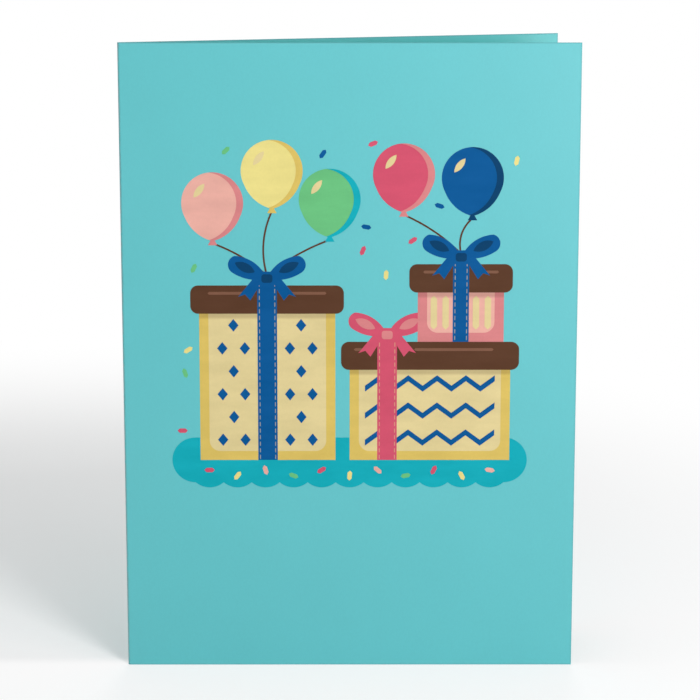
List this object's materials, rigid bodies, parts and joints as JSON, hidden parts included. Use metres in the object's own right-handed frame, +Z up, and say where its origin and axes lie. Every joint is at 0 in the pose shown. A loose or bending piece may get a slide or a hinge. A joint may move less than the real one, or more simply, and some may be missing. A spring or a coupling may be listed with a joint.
{
  "type": "pop up greeting card",
  "caption": "Folded greeting card standing ajar, with a printed front panel and a fold-flat layered cake of interlocking card slices glued between its panels.",
  "frame": {"origin": "middle of the card's footprint box, on the surface it stands on", "axes": "+Z up the fold, +X from the fold to the free edges along the front panel, +Y from the front panel to the back panel"},
  "size_m": [0.127, 0.0328, 0.1778],
  "materials": {
    "blue_ink": "matt printed ink",
    "brown_card": "matt uncoated card",
    "brown_ink": "matt printed ink",
    "cocoa_ink": "matt printed ink",
    "cream_card": "matt uncoated card",
    "cream_ink": "matt printed ink",
    "gold_ink": "matt printed ink",
    "green_card": "matt uncoated card",
    "green_ink": "matt printed ink",
    "lemon_ink": "matt printed ink",
    "magenta_card": "matt uncoated card",
    "magenta_ink": "matt printed ink",
    "navy_ink": "matt printed ink",
    "pink_card": "matt uncoated card",
    "pink_ink": "matt printed ink",
    "rose_ink": "matt printed ink",
    "teal_ink": "matt printed ink",
    "turquoise_card": "matt uncoated card"
  },
  "bodies": {
    "root": {"back_glued_slice_1": "brown_card", "back_glued_slice_2": "brown_card", "back_glued_slice_3": "brown_card", "back_glued_slice_4": "brown_card", "back_glued_slice_5": "brown_card", "candle_1": "magenta_card", "candle_2": "green_card", "candle_3": "pink_card", "candle_4": "magenta_card", "candle_5": "green_card", "candle_6": "pink_card", "cover": "turquoise_card", "front_glued_slice_1": "cream_card", "front_glued_slice_2": "cream_card", "front_glued_slice_3": "cream_card", "front_glued_slice_4": "cream_card", "front_glued_slice_5": "cream_card", "print_blue": "blue_ink", "print_brown": "brown_ink", "print_cocoa": "cocoa_ink", "print_cream": "cream_ink", "print_gold": "gold_ink", "print_green": "green_ink", "print_lemon": "lemon_ink", "print_magenta": "magenta_ink", "print_navy": "navy_ink", "print_pink": "pink_ink", "print_rose": "rose_ink", "print_teal": "teal_ink"}
  },
  "joints": []
}
